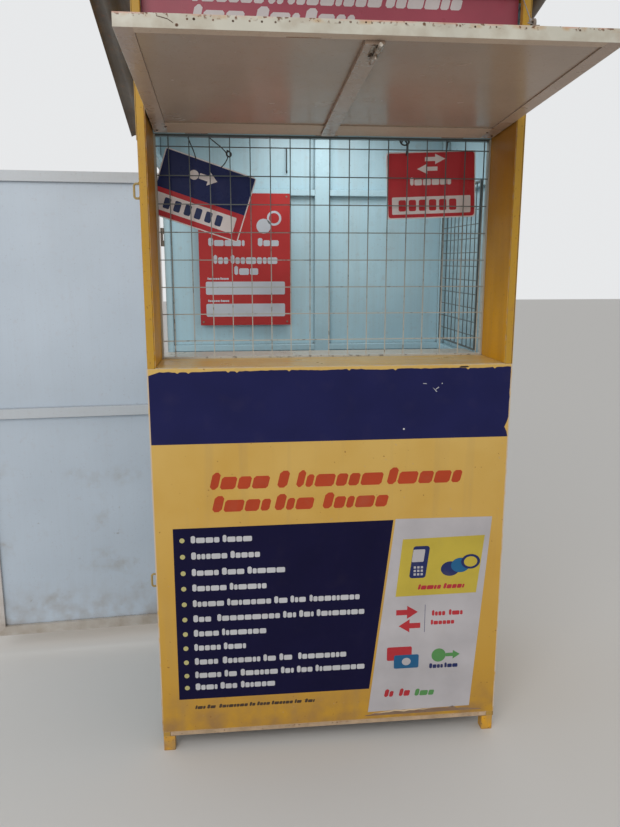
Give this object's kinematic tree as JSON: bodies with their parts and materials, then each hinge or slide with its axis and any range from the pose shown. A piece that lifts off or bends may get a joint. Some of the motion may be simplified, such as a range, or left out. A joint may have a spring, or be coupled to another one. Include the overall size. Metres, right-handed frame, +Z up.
{
  "type": "street kiosk",
  "caption": "Small sheet-steel street kiosk with a wire-caged serving window, a raised front flap, an open side door and a corrugated lean-to roof",
  "frame": {"origin": "on the ground below the middle of the front panel's outer face", "axes": "+X to the right seen from the street, +Y from the front into the booth, +Z up"},
  "size_m": [2.0808, 1.831, 2.6269],
  "materials": {
    "frame_paint": "old paint, rusted at the ends",
    "yellow_paint": "gloss paint, scratched and dirty",
    "sheet_paint": "flat paint, dusty",
    "sign_paint": "gloss paint",
    "wire_paint": "thin paint over wire",
    "roof_zinc": "weathered zinc, rusty at the edges",
    "batten_paint": "old primer",
    "flap_paint": "old paint with rust pits",
    "door_paint": "flat paint, dirty",
    "bare_steel": "bare steel with a rust film",
    "plate_paint": "printed metal",
    "poster_print": "printed card"
  },
  "bodies": {
    "booth": {"feet": "frame_paint", "front_posts": "frame_paint", "rear_posts": "frame_paint", "base_rails_long": "frame_paint", "base_rails_side": "frame_paint", "head_rails_long": "frame_paint", "head_rails_side": "frame_paint", "door_head_rail": "frame_paint", "floor_sheet": "sheet_paint", "front_panel": "yellow_paint", "rear_wall": "sheet_paint", "right_wall": "sheet_paint", "left_fascia": "sheet_paint", "rear_wall_stud": "frame_paint", "rear_wall_girts": "frame_paint", "right_wall_girts": "frame_paint", "counter": "yellow_paint", "counter_rails": "frame_paint", "window_cheeks": "yellow_paint", "grille_head_rail": "frame_paint", "recess_soffit": "yellow_paint", "header_sign": "sign_paint", "window_grille": "wire_paint", "roof_purlins": "batten_paint", "roof_sheet": "roof_zinc", "door_staples": "bare_steel", "flap_hinge_leaves": "bare_steel", "door_hinge_leaves": "bare_steel", "poster_board": "poster_print", "display_grid": "wire_paint", "hanging_plates": "plate_paint", "stay_staple": "bare_steel", "flap_stay": "bare_steel"},
    "flap": {"flap_long_members": "flap_paint", "flap_side_members": "flap_paint", "flap_sheet": "flap_paint", "flap_lining": "flap_paint", "flap_hinge_knuckles": "bare_steel", "flap_bolt": "bare_steel", "flap_ring": "bare_steel"},
    "side_door": {"door_stiles": "door_paint", "door_rails": "door_paint", "door_sheet": "door_paint", "door_hinge_knuckles": "bare_steel", "door_hasps": "bare_steel"}
  },
  "joints": [
    {"name": "flap_hinge", "type": "hinge", "parent": "booth", "child": "flap", "pos_m": [0, 0.218, 2.1114], "axis": [1, 0, 0], "range_deg": [0, 75], "deforming": ["flap_stay"]},
    {"name": "side_door_hinge", "type": "hinge", "parent": "booth", "child": "side_door", "pos_m": [-0.606, 0.809, 0], "axis": [0, 0, 1], "range_deg": [-75, 85]}
  ]
}
